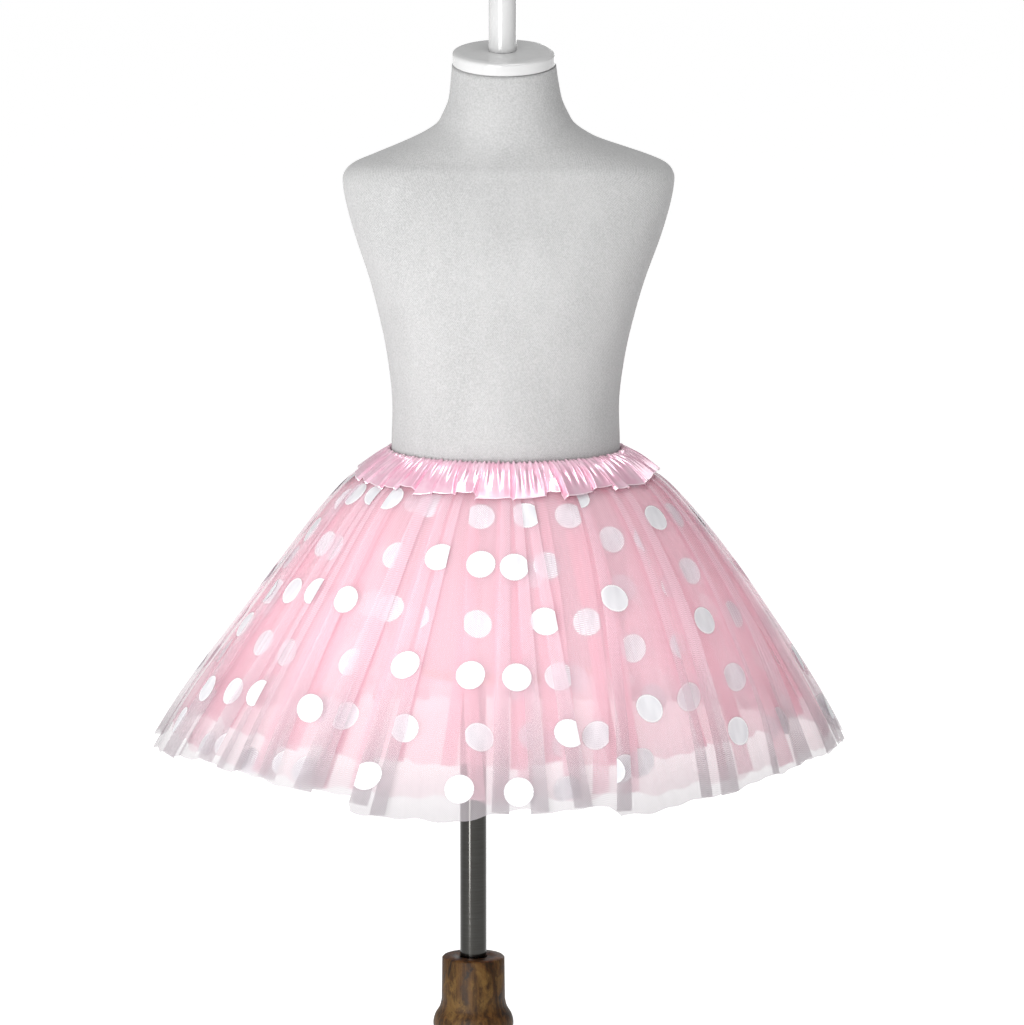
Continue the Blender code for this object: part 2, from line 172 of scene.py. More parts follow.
class Flare:
    """A flaring surface round the form: a lean table swept from its right, left and front."""

    def __init__(self, table, start_out, start_z):
        self.right = lean_path(table, "right", WAIST_WIDTH + start_out, start_z)
        self.left = lean_path(table, "left", WAIST_WIDTH + start_out, start_z)
        self.front = lean_path(table, "front", WAIST_DEPTH + start_out, start_z)

    def points(self, degrees, down, lift):
        """Points at angles, distances down the cloth, and lifts off the surface."""
        degrees, down, lift = np.broadcast_arrays(
            np.asarray(degrees, float), np.asarray(down, float), np.asarray(lift, float)
        )
        cos, sin = np.cos(np.radians(degrees)), np.sin(np.radians(degrees))
        pairs = zip(on_path(self.right, down), on_path(self.left, down))
        wide, side_z, side_lean = (np.where(cos > 0, a, b) for a, b in pairs)
        deep, front_z, front_lean = on_path(self.front, down)
        height = side_z * cos * cos + front_z * sin * sin
        lean = side_lean * cos * cos + front_lean * sin * sin
        height = height - SIDE_SAG * cos * cos * np.clip(1 - down / SAG_LENGTH, 0, 1) ** 2
        flat_x, flat_y = cos / wide, -sin / deep
        size = np.hypot(flat_x, flat_y)
        normal = np.stack(
            [flat_x / size * np.cos(lean), flat_y / size * np.cos(lean), np.sin(lean)], -1
        )
        place = np.stack([FORM_X + wide * cos, -deep * sin, height], -1)
        return place + normal * lift[..., None]


tulle_flare = Flare(TULLE_LEAN, SEAM_OUT, SEAM_Z)

ARC_ANGLES = np.linspace(-90, 450, 1081)
ARC_DOWNS = np.linspace(0, SLANT + 0.005, 32)
arc_points = tulle_flare.points(ARC_ANGLES[None, :], ARC_DOWNS[:, None], 0.0)
arc_steps = np.linalg.norm(np.diff(arc_points, axis=1), axis=2)
ARC_LENGTHS = np.concatenate([np.zeros((len(ARC_DOWNS), 1)), np.cumsum(arc_steps, axis=1)], axis=1)


def arc_at(degrees, down):
    """Length round the skirt, in metres, from a fixed start to an angle, at one distance down."""
    row = np.clip(np.interp(down, ARC_DOWNS, range(len(ARC_DOWNS))), 0, len(ARC_DOWNS) - 1.001)
    low = int(row)
    share = row - low
    lengths = ARC_LENGTHS[low] * (1 - share) + ARC_LENGTHS[low + 1] * share
    return np.interp(degrees, ARC_ANGLES, lengths)


def angle_at(length, down):
    row = np.clip(np.interp(down, ARC_DOWNS, range(len(ARC_DOWNS))), 0, len(ARC_DOWNS) - 1.001)
    low = int(row)
    share = row - low
    lengths = ARC_LENGTHS[low] * (1 - share) + ARC_LENGTHS[low + 1] * share
    return np.interp(length, lengths, ARC_ANGLES)


# The dots' lattice, in metres on the flat cloth: a second set lies half a pitch aside and below
PITCH_ACROSS, PITCH_DOWN = 0.098, 0.094
DOT_RADIUS = 0.0117
BARE = PITCH_ACROSS / 4  # a stretch with this shift has no dots
BARE_SQUEEZE = 0.22

# Stretches of the outer layer, each from its crease to the next. A crease goes from its angle
# at the waist to its angle at the hem. over is 1 where the stretch lies on top of the one
# before it. A column of dots goes from print_waist to print_hem, and its first dot is at
# print_down; shift moves the print sideways.
Stretch = namedtuple("Stretch", "waist hem over print_waist print_hem print_down shift")


def bare(waist, hem, over, after_waist, after_hem):
    return Stretch(waist, hem, over, (waist + after_waist) / 2, (hem + after_hem) / 2, 0.02, BARE)


OUTER_FRONT = (
    Stretch(-4, 2, 1, -27, 17.5, 0.030, 0),
    bare(1, 8, -1, 5, 13.5),
    bare(5, 13.5, 1, 8, 19.5),
    bare(8, 19.5, -1, 11, 26),
    bare(11, 26, 1, 13.5, 32.3),
    bare(13.5, 32.3, -1, 23, 39),
    Stretch(23, 39, -1, 30.9, 44.4, -0.032, 0),
    bare(36.3, 48.3, 1, 47, 56),
    Stretch(47, 56, -1, 63.4, 60.4, 0.031, 0),
    bare(61.5, 71.8, -1, 80.3, 75.6),
    Stretch(80.3, 75.6, 1, 84.3, 76.6, 0.046, 0),
    Stretch(84.5, 82.9, 1, 87.5, 87.8, -0.001, 0),
    Stretch(91.5, 92.2, -1, 96.6, 97.8, -0.004, 0),
    Stretch(105.5, 109.3, 1, 107.1, 114.4, -0.008, 0),
    bare(113.2, 115.6, -1, 117, 121),
    bare(117, 121, 1, 121.5, 126.5),
    Stretch(121.5, 126.5, -1, 136.8, 127.5, 0.038, 0),
    bare(137.5, 134.3, -1, 140, 138.8),
    bare(140, 138.8, 1, 143, 143.2),
    Stretch(143, 143.2, 1, 143.6, 144.5, 0.037, 0),
    Stretch(150, 151, -1, 158, 152, 0.042, 0),
    Stretch(158.5, 157.5, 1, 173, 160, 0.050, 0),
    Stretch(166, 165, -1, 170, 170, -0.009, 0),
    Stretch(175, 174, 1, 178, 179, 0.030, 0),
)
MIDDLE_FRONT = (
    bare(2, 5, 1, 12, 17),
    Stretch(12, 17, -1, 17, 27, 0.064, 0),
    Stretch(21, 30, 1, 27.5, 38.5, 0.018, 0),
    bare(32, 42, 1, 42, 50),
    Stretch(42, 50, -1, 51.8, 66.2, 0.072, 0),
    bare(57.5, 66.5, 1, 62.3, 72),
    Stretch(62.3, 72, 1, 66.6, 73.9, 0.047, 0),
    Stretch(75, 77, 1, 77.6, 79.3, -0.003, 0),
    bare(86, 88, -1, 93, 92),
    Stretch(93, 92, -1, 99.6, 93.8, 0.046, 0),
    bare(103.8, 96, -1, 115, 117),
    Stretch(115, 117, -1, 117, 123.5, 0.038, 0),
    Stretch(122, 124.5, -1, 122.5, 127.5, -0.008, 0),
    bare(132, 134, 1, 139, 138),
    Stretch(139, 138, -1, 154.7, 140.0, -0.004, 0),
    Stretch(151, 149.5, 1, 156, 153, 0.090, 0),
    bare(160, 161, -1, 171, 172),
    Stretch(171, 172, 1, 174, 176, 0.020, 0),
)
INNER_FRONT = (
    bare(6, 10, 1, 22, 25),
    bare(22, 25, -1, 34, 38),
    bare(34, 38, 1, 48, 51),
    Stretch(48, 51, -1, 56, 58, 0.019, 0),
    bare(62, 64, 1, 70, 71),
    Stretch(70, 71, -1, 81.5, 72.0, -0.004, 0),
    Stretch(79, 79.5, 1, 76.7, 90.5, 0.002, 0),
    bare(88, 89, -1, 98, 99),
    bare(98, 99, 1, 111, 112),
    bare(111, 112, -1, 120, 121),
    Stretch(120, 121, 1, 124, 129, 0.034, 0),
    bare(134, 135, -1, 150, 151),
    bare(150, 151, 1, 163, 164),
    Stretch(163, 164, -1, 168, 170, 0.060, 0),
)


def back_stretches(front, count, seed):
    """Stretches for the back, spaced unevenly by a rule, from the last front one to the first."""
    start = front[-1].hem
    step = (360 + front[0].hem - start) / (count + 1)
    made = []
    for k in range(1, count + 1):
        hem = start + step * (k + 0.24 * math.sin(2.3 * k + seed))
        waist = hem + 1.5 * math.sin(1.1 * k + seed)
        over = 1 if math.sin(1.9 * k + seed) > 0 else -1
        middle = hem + step * (0.5 + 0.2 * math.sin(3.1 * k + seed))
        down = 0.047 * (k % 2) - 0.004 + 0.006 * math.sin(k)
        made.append(
            Stretch(waist, hem, over, middle, middle, down, 0)
        )
    return (*front, *made)


# The outer hem: how much longer the cloth is than the plain hem, by angle. It steps twice.
Hem = namedtuple("Hem", "angle longer")
OUTER_HEM = (
    Hem(-20, -0.006), Hem(0, -0.010), Hem(20, -0.014), Hem(30, -0.015), Hem(38, -0.013),
    Hem(45, -0.010), Hem(52, -0.008), Hem(58, -0.006), Hem(64, -0.003), Hem(71.7, -0.001),
    Hem(71.9, -0.010), Hem(82, -0.009), Hem(88, -0.009), Hem(93, -0.006), Hem(99, 0.0),
    Hem(106, 0.0), Hem(115.5, -0.001), Hem(115.7, -0.014), Hem(130, -0.013), Hem(139, -0.015),
    Hem(148, -0.015), Hem(157, -0.010), Hem(167, -0.003), Hem(175, 0.0), Hem(200, -0.006),
    Hem(340, -0.006),
)

# Depth of the folds and space between the layers, at the waist and at the hem
FOLD_DEPTH = (0.0003, 0.0052)
LAYER_SPACE = (0.0016, 0.0074)
ROWS = 62
COLUMN_STEP = 0.0036


def between(ends, share):
    return ends[0] + (ends[1] - ends[0]) * share


class TulleLayer:
    """A gathered layer. At each crease the cloth folds back under the stretch on top and on."""

    def __init__(self, name, stretches, length, depth, overlap, hem, seed):
        self.name = name
        self.stretches = stretches
        self.length = length
        self.depth = depth
        self.overlap = overlap
        self.hem = hem
        self.seed = seed

    def longer(self, degrees):
        wave = 0.0012 * np.sin(np.radians(degrees) * 23 + self.seed) + 0.0008 * np.sin(
            np.radians(degrees) * 61 + 2 * self.seed
        )
        if self.hem is None:
            return 1.8 * wave
        table = np.array(self.hem)
        turned = (np.asarray(degrees) + 20) % 360 - 20
        return np.interp(turned, table[:, 0], table[:, 1]) + wave

    def crease(self, k, share):
        """Angle of crease k at a share of the slant. Past the last one it goes on round."""
        count = len(self.stretches)
        turns, index = divmod(k, count)
        row = self.stretches[index]
        return row.waist + (row.hem - row.waist) * share + 360 * turns

    def over(self, k):
        return self.stretches[k % len(self.stretches)].over

    def width(self, k, share, down):
        """Width of the overlap at crease k, in metres: at most most of the stretch on top."""
        a = self.crease(k, share)
        b = self.crease(k + 1, share) if self.over(k) > 0 else self.crease(k - 1, share)
        top = abs(arc_at(b, down) - arc_at(a, down))
        return min(between(self.overlap, share), 0.82 * top)

    @staticmethod
    def squeeze(row_data):
        """How much the print is squeezed, so that a bare stretch stays between two dots."""
        return BARE_SQUEEZE if row_data.shift else 1

    def build(self, material_list):
        shares = np.linspace(0, 1, ROWS) ** 0.92
        columns_of = {}
        points, uvs, faces = [], [], []
        count = len(self.stretches)
        for k in range(count):
            whole = abs(
                arc_at(self.crease(k + 1, 1), self.length) - arc_at(self.crease(k, 1), self.length)
            )
            columns_of[k] = max(5, int(round((whole + self.overlap[1]) / COLUMN_STEP)))
        fold_columns = max(4, int(round(self.overlap[1] / COLUMN_STEP)))
        first = 0
        for k in range(count):
            row_data = self.stretches[k]
            wide = columns_of[k]
            grid_p, grid_u = [], []
            for share in shares:
                down = share * self.length
                a, b = self.crease(k, share), self.crease(k + 1, share)
                arc_a, arc_b = arc_at(a, down), arc_at(b, down)
                w_a, w_b = self.width(k, share, down), self.width(k + 1, share, down)
                over_a, over_b = self.over(k), self.over(k + 1)
                start = arc_a if over_a > 0 else arc_a - w_a
                end = arc_b if over_b < 0 else arc_b + w_b
                arcs = np.linspace(start, end, wide)
                angles = angle_at(arcs, down)
                half = between(FOLD_DEPTH, share) / 2
                first_lift, last_lift = over_a * half, -over_b * half
                t = np.clip((arcs - arc_a) / max(arc_b - arc_a, 1e-6), 0, 1)
                ease = t * t * (3 - 2 * t)
                lift = first_lift + (last_lift - first_lift) * ease
                lift += 0.25 * half * np.sin(math.pi * t) * math.sin(1.3 * k + self.seed)
                lift += share * 0.0009 * np.sin(angles * 0.37 + 9 * share + self.seed)
                lift -= self.depth * between(LAYER_SPACE, share)
                clamped = np.clip(angles, a, b)
                hang = share * (self.length + self.longer(clamped))
                grid_p.append(tulle_flare.points(angles, hang, lift))
                line = row_data.print_waist + (row_data.print_hem - row_data.print_waist) * share
                u = (arcs - arc_at(line, down)) * self.squeeze(row_data) + row_data.shift
                grid_u.append(np.stack([
                    u / PITCH_ACROSS, (hang - row_data.print_down) / PITCH_DOWN
                ], -1))
            first = self.add_grid(points, uvs, faces, np.array(grid_p), np.array(grid_u), first)
        for k in range(count):
            top = k if self.over(k) > 0 else (k - 1) % count
            row_data = self.stretches[top]
            turn = -360 if self.over(k) < 0 and k == 0 else 0
            grid_p, grid_u = [], []
            for share in shares:
                down = share * self.length
                a = self.crease(k, share)
                arc_a = arc_at(a, down)
                w = self.width(k, share, down)
                t = np.linspace(0, 1, fold_columns)
                arcs = arc_a + self.over(k) * w * t
                angles = angle_at(arcs, down)
                half = between(FOLD_DEPTH, share) / 2
                lift = half * (1 - 2 * t)
                lift -= self.depth * between(LAYER_SPACE, share)
                lift += share * 0.0009 * np.sin(angles * 0.37 + 9 * share + self.seed)
                hang = share * (self.length + self.longer(np.full_like(angles, a)))
                grid_p.append(tulle_flare.points(angles, hang, lift))
                line = (
                    row_data.print_waist + (row_data.print_hem - row_data.print_waist) * share + turn
                )
                u = (arc_a - (arcs - arc_a) - arc_at(line, down)) * self.squeeze(row_data)
                u += row_data.shift
                grid_u.append(np.stack([
                    u / PITCH_ACROSS, (hang - row_data.print_down) / PITCH_DOWN
                ], -1))
            first = self.add_grid(points, uvs, faces, np.array(grid_p), np.array(grid_u), first)
        return add_mesh(self.name, np.concatenate(points), faces, material_list, uvs=np.concatenate(uvs))

    @staticmethod
    def add_grid(points, uvs, faces, grid_p, grid_u, first):
        rows, columns = grid_p.shape[:2]
        points.append(grid_p.reshape(-1, 3))
        local = grid_faces(rows, columns, False)
        flat_u = grid_u.reshape(-1, 2)
        uvs.append(flat_u[np.array(local).ravel()])
        faces.extend([tuple(first + i for i in face) for face in local])
        return first + rows * columns


# Materials

SEWN_V = 0.005  # where the satin's folded top lies on its flat cloth, in metres
HEM_Z = 0.381  # the outer hem's usual height


def new_material(name):
    made = bpy.data.materials.new(name)
    made.use_nodes = True
    nodes = made.node_tree.nodes
    return made, nodes, made.node_tree.links, nodes["Principled BSDF"]


class Maths:
    """Short ways to add the nodes of a material."""

    def __init__(self, nodes, links):
        self.nodes, self.links = nodes, links

    def put(self, socket, value):
        if isinstance(value, bpy.types.NodeSocket):
            self.links.new(value, socket)
        else:
            socket.default_value = value

    def do(self, operation, a, b=None, clamp=False):
        node = self.nodes.new("ShaderNodeMath")
        node.operation = operation
        node.use_clamp = clamp
        self.put(node.inputs[0], a)
        if b is not None:
            self.put(node.inputs[1], b)
        return node.outputs[0]

    def ramp(self, value, low, high, to_low=0.0, to_high=1.0, smooth=True):
        node = self.nodes.new("ShaderNodeMapRange")
        node.interpolation_type = "SMOOTHSTEP" if smooth else "LINEAR"
        self.put(node.inputs["Value"], value)
        for name, number in (
            ("From Min", low), ("From Max", high), ("To Min", to_low), ("To Max", to_high)
        ):
            node.inputs[name].default_value = number
        return node.outputs[0]

    def noise(self, vector, scale, detail=3.0, roughness=0.5, distortion=0.0):
        node = self.nodes.new("ShaderNodeTexNoise")
        self.put(node.inputs["Vector"], vector)
        node.inputs["Scale"].default_value = scale
        node.inputs["Detail"].default_value = detail
        node.inputs["Roughness"].default_value = roughness
        node.inputs["Distortion"].default_value = distortion
        return node.outputs["Fac"]

    def stretched(self, vector, scale):
        node = self.nodes.new("ShaderNodeMapping")
        self.put(node.inputs["Vector"], vector)
        node.inputs["Scale"].default_value = scale
        return node.outputs[0]

    def mix(self, share, a, b):
        node = self.nodes.new("ShaderNodeMix")
        node.data_type = "RGBA"
        self.put(node.inputs["Factor"], share)
        self.put(node.inputs["A"], a)
        self.put(node.inputs["B"], b)
        return node.outputs["Result"]

    def bump(self, height, strength, distance):
        node = self.nodes.new("ShaderNodeBump")
        node.inputs["Strength"].default_value = strength
        node.inputs["Distance"].default_value = distance
        self.put(node.inputs["Height"], height)
        return node.outputs["Normal"]

    def place(self):
        return self.nodes.new("ShaderNodeTexCoord").outputs["Object"]


def tulle_material(name, high, low, cover_top, cover_middle, cover_hem):
    """Fine net with round white dots. The net covers more near the waist, where it is gathered.

    high and low are its colours near the waist and at the hem."""
    made, nodes, links, shader = new_material(name)
    m = Maths(nodes, links)
    uv = nodes.new("ShaderNodeUVMap")
    uv.uv_map = "cloth"
    parts = nodes.new("ShaderNodeSeparateXYZ")
    links.new(uv.outputs[0], parts.inputs[0])
    across, down = parts.outputs[0], parts.outputs[1]
    flat_x, flat_y = m.do("MULTIPLY", across, PITCH_ACROSS), m.do("MULTIPLY", down, PITCH_DOWN)
    flat = nodes.new("ShaderNodeCombineXYZ")
    links.new(flat_x, flat.inputs[0])
    links.new(flat_y, flat.inputs[1])
    flat = flat.outputs[0]
    distances = []
    for shift in (0.5, 0.0):
        x, y = (
            m.do("MULTIPLY", m.do("SUBTRACT", m.do("FRACT", m.do("ADD", way, shift)), 0.5), pitch)
            for way, pitch in ((across, PITCH_ACROSS), (down, PITCH_DOWN))
        )
        distances.append(m.do("SQRT", m.do("ADD", m.do("MULTIPLY", x, x), m.do("MULTIPLY", y, y))))
    distance = m.do("MINIMUM", *distances)
    waves = [m.do("SINE", m.do("MULTIPLY", *pair)) for pair in ((flat_x, 2900.0), (flat_y, 2300.0))]
    rough = m.do("MULTIPLY", *waves)
    distance = m.do("ADD", distance, m.do("MULTIPLY", rough, 0.00016))
    dot = m.ramp(distance, DOT_RADIUS - 0.0001, DOT_RADIUS + 0.0001, 1, 0)
    bright_rim = m.ramp(distance, DOT_RADIUS - 0.0014, DOT_RADIUS - 0.0009, 0, 1)
    grey_edge = m.ramp(distance, DOT_RADIUS - 0.0006, DOT_RADIUS - 0.0002, 0, 1)
    outline = m.ramp(distance, DOT_RADIUS + 0.0007, DOT_RADIUS + 0.0002, 0, 1)

    threads_across = m.do("SINE", m.do("MULTIPLY", flat_x, 2 * math.pi / 0.0019))
    threads_down = m.do("SINE", m.do("MULTIPLY", flat_y, 2 * math.pi / 0.0016))
    net = m.do("MULTIPLY", threads_across, threads_down)
    streak = m.noise(m.stretched(flat, (150, 6, 1)), 1.0, 1.0)

    height = nodes.new("ShaderNodeSeparateXYZ")
    links.new(m.place(), height.inputs[0])
    rise = m.ramp(height.outputs[2], HEM_Z + 0.004, HEM_Z + 0.17)
    gathered = m.ramp(height.outputs[2], HEM_Z + 0.10, SEAM_Z, 0, 1, smooth=False)
    cover = m.ramp(height.outputs[2], HEM_Z, HEM_Z + 0.09, cover_hem, cover_middle)
    cover = m.do("ADD", cover, m.do("MULTIPLY", gathered, cover_top - cover_middle))
    cover = m.do("ADD", cover, m.do("MULTIPLY", net, 0.05))
    cover = m.do("ADD", cover, m.ramp(streak, 0.3, 0.7, -0.02, 0.02))
    cover = m.do("ADD", cover, m.do("MULTIPLY", outline, 0.16), clamp=True)
    alpha = m.do("MAXIMUM", cover, m.do("MULTIPLY", dot, 0.97))

    # Colour by height: the net goes from its high colour near the waist to a darker low colour at the hem.
    # That darkening is painted shade on the lower skirt.
    net_colour = m.mix(rise, (*low, 1), (*high, 1))
    net_colour = m.mix(m.do("MULTIPLY", outline, 0.45), net_colour, (0.42, 0.36, 0.40, 1))
    foil = m.ramp(m.noise(m.stretched(flat, (120, 26, 1)), 1.0, 1.0), 0.3, 0.7)
    white = m.mix(foil, (0.74, 0.75, 0.78, 1), (0.86, 0.87, 0.895, 1))
    white = m.mix(m.do("MULTIPLY", bright_rim, 0.8), white, (0.98, 0.98, 0.99, 1))
    white = m.mix(m.do("MULTIPLY", grey_edge, 0.7), white, (0.60, 0.60, 0.62, 1))
    links.new(m.mix(dot, net_colour, white), shader.inputs["Base Color"])
    links.new(m.ramp(dot, 0, 1, 0.75, 0.42, smooth=False), shader.inputs["Roughness"])
    shader.inputs["Specular IOR Level"].default_value = 0.2
    through = nodes.new("ShaderNodeBsdfTranslucent")
    links.new(m.mix(dot, net_colour, white), through.inputs["Color"])
    open_net = nodes.new("ShaderNodeBsdfTransparent")
    thread = nodes.new("ShaderNodeMixShader")
    links.new(m.ramp(dot, 0, 1, 0.30, 0.08, smooth=False), thread.inputs[0])
    links.new(shader.outputs[0], thread.inputs[1])
    links.new(through.outputs[0], thread.inputs[2])
    cloth = nodes.new("ShaderNodeMixShader")
    links.new(alpha, cloth.inputs[0])
    links.new(open_net.outputs[0], cloth.inputs[1])
    links.new(thread.outputs[0], cloth.inputs[2])
    links.new(cloth.outputs[0], nodes["Material Output"].inputs["Surface"])
    return made


def satin_material():
    """Glossy satin, with a grey thread along its folded top."""
    made, nodes, links, shader = new_material("pink_satin")
    m = Maths(nodes, links)
    uv = nodes.new("ShaderNodeUVMap")
    uv.uv_map = "cloth"
    parts = nodes.new("ShaderNodeSeparateXYZ")
    links.new(uv.outputs[0], parts.inputs[0])
    weave = m.noise(m.stretched(uv.outputs[0], (700, 60, 1)), 1.0, 3.0)
    soft = m.noise(m.place(), 70.0, 2.0)
    base = m.mix(m.ramp(soft, 0.35, 0.65), (0.92, 0.50, 0.65, 1), (0.97, 0.64, 0.77, 1))
    base = m.mix(m.ramp(weave, 0.35, 0.70, 0, 0.20), base, (1.0, 0.78, 0.86, 1))
    top = m.ramp(parts.outputs[1], SEWN_V - 0.0010, SEWN_V, 0, 1)
    below = m.ramp(parts.outputs[1], SEWN_V + 0.0005, SEWN_V + 0.0016, 1, 0)
    stitches = m.ramp(m.noise(m.stretched(uv.outputs[0], (420, 1, 1)), 1.0, 1.0), 0.45, 0.55, 0, 0.55)
    thread = m.do("MULTIPLY", m.do("MULTIPLY", top, below), stitches)
    hem = m.ramp(parts.outputs[1], 0.0485, 0.0492, 0, 0.6)
    base = m.mix(hem, base, (1.0, 0.88, 0.93, 1))
    links.new(m.mix(thread, base, (0.42, 0.46, 0.40, 1)), shader.inputs["Base Color"])
    links.new(m.ramp(weave, 0.2, 0.8, 0.16, 0.26), shader.inputs["Roughness"])
    links.new(m.bump(weave, 0.06, 0.0002), shader.inputs["Normal"])
    shader.inputs["Metallic"].default_value = 0.36
    shader.inputs["Specular IOR Level"].default_value = 1.0
    shader.inputs["Specular Tint"].default_value = (1.0, 0.93, 0.96, 1)
    shader.inputs["IOR"].default_value = 1.7
    shader.inputs["Anisotropic"].default_value = 0.4
    shader.inputs["Sheen Weight"].default_value = 0.2
    shader.inputs["Sheen Roughness"].default_value = 0.3
    return made


def jersey_material():
    made, nodes, links, shader = new_material("jersey")
    m = Maths(nodes, links)
    place = m.place()
    parts = nodes.new("ShaderNodeSeparateXYZ")
    links.new(place, parts.inputs[0])
    around = m.do("ARCTAN2", m.do("SUBTRACT", parts.outputs[0], FORM_X), parts.outputs[1])
    wales = m.do("SINE", m.do("MULTIPLY", around, 330.0))
    courses = m.do("SINE", m.do("MULTIPLY", parts.outputs[2], 2 * math.pi / 0.0021))
    knit = m.do("MULTIPLY", wales, courses)
    fuzz = m.noise(place, 700.0, 3.0)
    cloud = m.noise(m.stretched(place, (30, 30, 14)), 1.0, 3.0)
    mixed = m.do("ADD", m.do("MULTIPLY", knit, 0.16), m.do("SUBTRACT", fuzz, 0.5))
    shade = m.ramp(mixed, -0.30, 0.30, 0.0, 1.0)
    base = m.mix(shade, (0.37, 0.37, 0.37, 1), (0.505, 0.505, 0.505, 1))
    clouded = m.mix(m.ramp(cloud, 0.35, 0.65, 0, 0.15), base, (0.60, 0.60, 0.60, 1))
    links.new(clouded, shader.inputs["Base Color"])
    links.new(m.bump(mixed, 0.6, 0.0006), shader.inputs["Normal"])
    shader.inputs["Roughness"].default_value = 0.95
    shader.inputs["Specular IOR Level"].default_value = 0.1
    shader.inputs["Sheen Weight"].default_value = 0.2
    return made


def lacquer_material():
    made, nodes, links, shader = new_material("white_lacquer")
    m = Maths(nodes, links)
    cloud = m.noise(m.place(), 25.0, 2.0)
    white = m.mix(m.ramp(cloud, 0.3, 0.7), (0.56, 0.56, 0.56, 1), (0.60, 0.60, 0.60, 1))
    links.new(white, shader.inputs["Base Color"])
    links.new(m.ramp(m.noise(m.place(), 160.0), 0.3, 0.7, 0.16, 0.24), shader.inputs["Roughness"])
    links.new(m.bump(m.noise(m.place(), 90.0), 0.04, 0.0005), shader.inputs["Normal"])
    shader.inputs["Coat Weight"].default_value = 0.6
    shader.inputs["Coat Roughness"].default_value = 0.08
    return made


def steel_material():
    made, nodes, links, shader = new_material("dark_steel")
    m = Maths(nodes, links)
    turned = m.noise(m.stretched(m.place(), (60, 60, 900)), 1.0, 2.0)
    # The near-black metal colour is a painted dark reflection: it stands in for the dark surroundings the
    # steel pole mirrors.
    grey = m.mix(turned, (0.040, 0.038, 0.034, 1), (0.062, 0.062, 0.060, 1))
    links.new(grey, shader.inputs["Base Color"])
    links.new(m.ramp(turned, 0.3, 0.7, 0.08, 0.16), shader.inputs["Roughness"])
    shader.inputs["Metallic"].default_value = 1.0
    return made


def wood_material():
    made, nodes, links, shader = new_material("turned_wood")
    m = Maths(nodes, links)
    place = m.place()
    patches = m.noise(m.stretched(place, (70, 70, 45)), 1.0, 6.0, 0.65, 0.8)
    grain = m.noise(m.stretched(place, (300, 300, 28)), 1.0, 4.0, 0.6)
    specks = m.noise(place, 480.0, 3.0, 0.7)
    warm = m.mix(m.ramp(grain, 0.35, 0.65), (0.028, 0.012, 0.003, 1), (0.088, 0.042, 0.010, 1))
    worn = m.mix(m.ramp(patches, 0.50, 0.68), warm, (0.125, 0.069, 0.018, 1))
    dark = m.mix(m.ramp(patches, 0.34, 0.47, 1, 0), worn, (0.014, 0.008, 0.004, 1))
    speckled = m.mix(m.ramp(specks, 0.60, 0.70, 0, 0.8), dark, (0.010, 0.006, 0.003, 1))
    links.new(speckled, shader.inputs["Base Color"])
    links.new(m.ramp(patches, 0.3, 0.7, 0.40, 0.58), shader.inputs["Roughness"])
    links.new(m.bump(m.do("ADD", grain, specks), 0.35, 0.0006), shader.inputs["Normal"])
    shader.inputs["Specular IOR Level"].default_value = 0.2
    return made


def board_material():
    made, nodes, links, shader = new_material("board")
    m = Maths(nodes, links)
    grain = m.noise(m.stretched(m.place(), (25, 220, 60)), 1.0, 4.0)
    brown = m.mix(m.ramp(grain, 0.3, 0.7), (0.36, 0.25, 0.14, 1), (0.50, 0.38, 0.24, 1))
    links.new(brown, shader.inputs["Base Color"])
    links.new(m.bump(grain, 0.2, 0.0004), shader.inputs["Normal"])
    shader.inputs["Roughness"].default_value = 0.65
    return made


def elastic_material():
    made, nodes, links, shader = new_material("elastic")
    m = Maths(nodes, links)
    ribs = m.noise(m.stretched(m.place(), (400, 400, 1500)), 1.0, 2.0)
    white = m.mix(ribs, (0.70, 0.70, 0.70, 1), (0.86, 0.86, 0.86, 1))
    links.new(white, shader.inputs["Base Color"])
    links.new(m.bump(ribs, 0.3, 0.0003), shader.inputs["Normal"])
    shader.inputs["Roughness"].default_value = 0.85
    return made


jersey = jersey_material()
lacquer = lacquer_material()
steel = steel_material()
wood = wood_material()
satin = satin_material()
# Each net's low colour, used towards the hem, is darker than its high one. That darkening is painted shade,
# strongest on the outer net.
outer_net = tulle_material("outer_tulle", (0.97, 0.78, 0.85), (0.44, 0.415, 0.435), 0.33, 0.27, 0.66)
middle_net = tulle_material("middle_tulle", (0.97, 0.66, 0.74), (0.90, 0.62, 0.69), 0.50, 0.38, 0.42)
inner_net = tulle_material("inner_tulle", (0.98, 0.63, 0.71), (0.92, 0.59, 0.67), 0.62, 0.55, 0.52)


# The skirt

SIDES = ("front_left", "front_right", "back_right", "back_left")


def finish_piece(piece, slot, *nodes):
    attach(piece, "root")
    if nodes:
        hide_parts(*nodes)
    return piece


def area_of(piece):
    mesh = piece.data
    areas = np.zeros(len(mesh.polygons))
    mesh.polygons.foreach_get("area", areas)
    return float(areas.sum())


layers = (
    TulleLayer("tulle_outer_cloth", back_stretches(OUTER_FRONT, 22, 0.4), SLANT, 0, (0.006, 0.014),
               OUTER_HEM, 0.3),
    TulleLayer("tulle_middle_cloth", back_stretches(MIDDLE_FRONT, 16, 1.6), SLANT - MIDDLE_SHORTER, 1,
               (0.006, 0.013), None, 1.7),
    TulleLayer("tulle_inner_cloth", back_stretches(INNER_FRONT, 15, 2.9), SLANT - INNER_SHORTER, 2,
               (0.006, 0.013), None, 4.1),
)
for layer, net in zip(layers, (outer_net, middle_net, inner_net)):
    piece = layer.build([net])
    node = layer.name.replace("_cloth", "")
    finish_piece(piece, "tulle", *(f"{node}_{side}" for side in SIDES))
    flat = (round(area_of(piece) / layer.length, 2), layer.length)


# The waistband: fine gathers at the fold, and broader pleats where it flares

